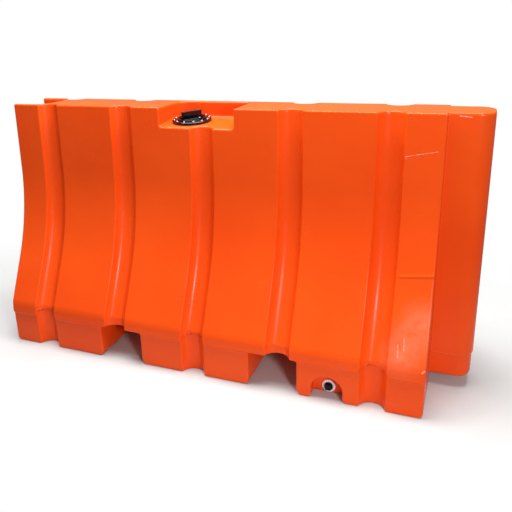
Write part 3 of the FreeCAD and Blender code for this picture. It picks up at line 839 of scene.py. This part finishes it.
def pale_floor():
    """Pale matt studio floor: near white, with a faint mottle and a fine grain, fading into the surround.

    The fade is a clear share that grows from the barrier outwards, so the ground shows only as a soft shadow.
    """
    material, tree, shader, place = new_material("pale floor")
    mottle = noise(tree, place, 3.0, 4.0)
    tree.links.new(ramp(tree, mottle, [(0.3, srgb("#C2C2C1")), (0.7, srgb("#CACAC9"))]),
                   shader.inputs["Base Color"])
    tree.links.new(ramp(tree, mottle, [(0.3, 0.62), (0.7, 0.74)]), shader.inputs["Roughness"])
    bumps(tree, shader, [(noise(tree, place, 300.0, 2.0), 0.05, 0.0003)])
    shader.inputs["Specular IOR Level"].default_value = 0.1
    stretched = add(tree, "ShaderNodeMapping", {"Vector": place, "Scale": (0.5, 1, 1)}).outputs[0]
    away = add(tree, "ShaderNodeVectorMath", {0: stretched}, operation="LENGTH").outputs["Value"]
    solid = add(tree, "ShaderNodeMapRange", {"Value": away, "From Min": 0.35, "From Max": 1.3,
                "To Min": 1.0, "To Max": 0.0}, interpolation_type="SMOOTHSTEP").outputs[0]
    tree.links.new(solid, shader.inputs["Alpha"])
    return material


# ---------------------------------------------------------------- stage

# Soft lamps: name, place, target, width and depth in metres, and power in watts.
LAMPS = (("top", (-0.05, -0.05, 3.0), (-0.05, -0.049, 0.9), (3.0, 1.6), 200),
         ("key", (2.0, -2.4, 1.5), (0.15, -0.1, 0.5), (0.45, 0.45), 40))
WORLD_LIGHT = 0.2


def make_stage():
    """Pale floor, white surround and soft lamps."""
    floor = mesh_object("floor", [(-5, -5, 0), (5, -5, 0), (5, 5, 0), (-5, 5, 0)], [(0, 1, 2, 3)])
    floor.data.materials.append(pale_floor())
    world = bpy.data.worlds.new("studio")
    bpy.context.scene.world = world
    world.use_nodes = True
    tree = world.node_tree
    seen = add(tree, "ShaderNodeLightPath").outputs["Is Camera Ray"]
    strength = add(tree, "ShaderNodeMapRange", {"Value": seen, "To Min": WORLD_LIGHT,
                   "To Max": 1.0}).outputs[0]
    tree.links.new(strength, tree.nodes["Background"].inputs["Strength"])
    tree.nodes["Background"].inputs["Color"].default_value = (1, 1, 1, 1)
    for name, place, target, (width, depth), power in LAMPS:
        light = bpy.data.lights.new(name, "AREA")
        light.shape = "RECTANGLE"
        light.size, light.size_y = width, depth
        light.energy = power
        lamp = bpy.data.objects.new(name, light)
        lamp.location = place
        lamp.rotation_euler = (Vector(target) - Vector(place)).to_track_quat("-Z", "Y").to_euler()
        bpy.context.scene.collection.objects.link(lamp)
    bpy.context.scene.view_settings.view_transform = "Standard"


def make_camera():
    """The camera, a little above the top of the barrier and to its right."""
    azimuth, elevation, roll = math.radians(22.11), math.radians(18.65), math.radians(-2.105)
    back = Vector((math.sin(azimuth) * math.cos(elevation), -math.cos(azimuth) * math.cos(elevation),
                   math.sin(elevation)))
    right = Vector((math.cos(azimuth), math.sin(azimuth), 0))
    up = back.cross(right)
    right, up = (right * math.cos(roll) + up * math.sin(roll), up * math.cos(roll) - right * math.sin(roll))
    data = bpy.data.cameras.new("camera")
    camera = bpy.data.objects.new("camera", data)
    camera.matrix_world = Matrix((right, up, back)).transposed().to_4x4()
    camera.location = (0.93315, -2.18949, 1.38928)
    data.lens = 41.52
    data.shift_x = 0.0256
    data.shift_y = -0.0737
    bpy.context.scene.collection.objects.link(camera)
    bpy.context.scene.camera = camera


# ---------------------------------------------------------------- putting it together

def finish_piece(obj, node, body, material):
    """Let a drawn piece stand in for its node, on the body that it moves with."""
    obj.data.materials.clear()
    obj.data.materials.append(material)
    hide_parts(node)
    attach(obj, body)


def paint(node, material):
    """Give a carried-over piece its material."""
    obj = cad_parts[node]
    obj.data.materials.clear()
    obj.data.materials.append(material)


make_camera()
make_stage()
nylon, steel, rubber = glossy_nylon(), turned_stainless(), black_rubber()

finish_piece(make_shell(), "barrier_shell", "barrier", rotomoulded_polyethylene())
finish_piece(make_ring(), "fill_port_ring", "barrier", nylon)
finish_piece(make_cap(), "fill_cap", "cap", nylon)
finish_piece(make_handle(), "fill_cap_handle", "cap", nylon)
finish_piece(make_bush(), "drain_bush", "barrier", natural_polyethylene())
finish_piece(make_plug(), "drain_plug", "plug", black_moulding())

group = fastener_group()
ring_places = [(SCREW_CIRCLE * math.cos(n * math.pi / 6), SCREW_CIRCLE * math.sin(n * math.pi / 6), RING_TOP)
               for n in range(12)]
turn = Matrix.Rotation(HANDLE_ANGLE, 3, "Z")
handle_places = [turn @ Vector((along, across, PLATE_TOP)) for along, across in HANDLE_SCREWS]
ring_screw = make_screw("ring_screw", *RING_SCREW)
plate_screw = make_screw("plate_screw", *PLATE_SCREW)
finish_piece(set_screws("port_screws", group, ring_screw, ring_places, 3, steel), "fill_port_screws",
             "barrier", steel)
finish_piece(set_screws("plate_screws", group, plate_screw, handle_places, 8, steel), "handle_screws",
             "cap", steel)

for node in ("fill_port_gasket", "fill_cap_seal", "drain_washer"):
    paint(node, rubber)
paint("fill_port_inserts", turned_brass())
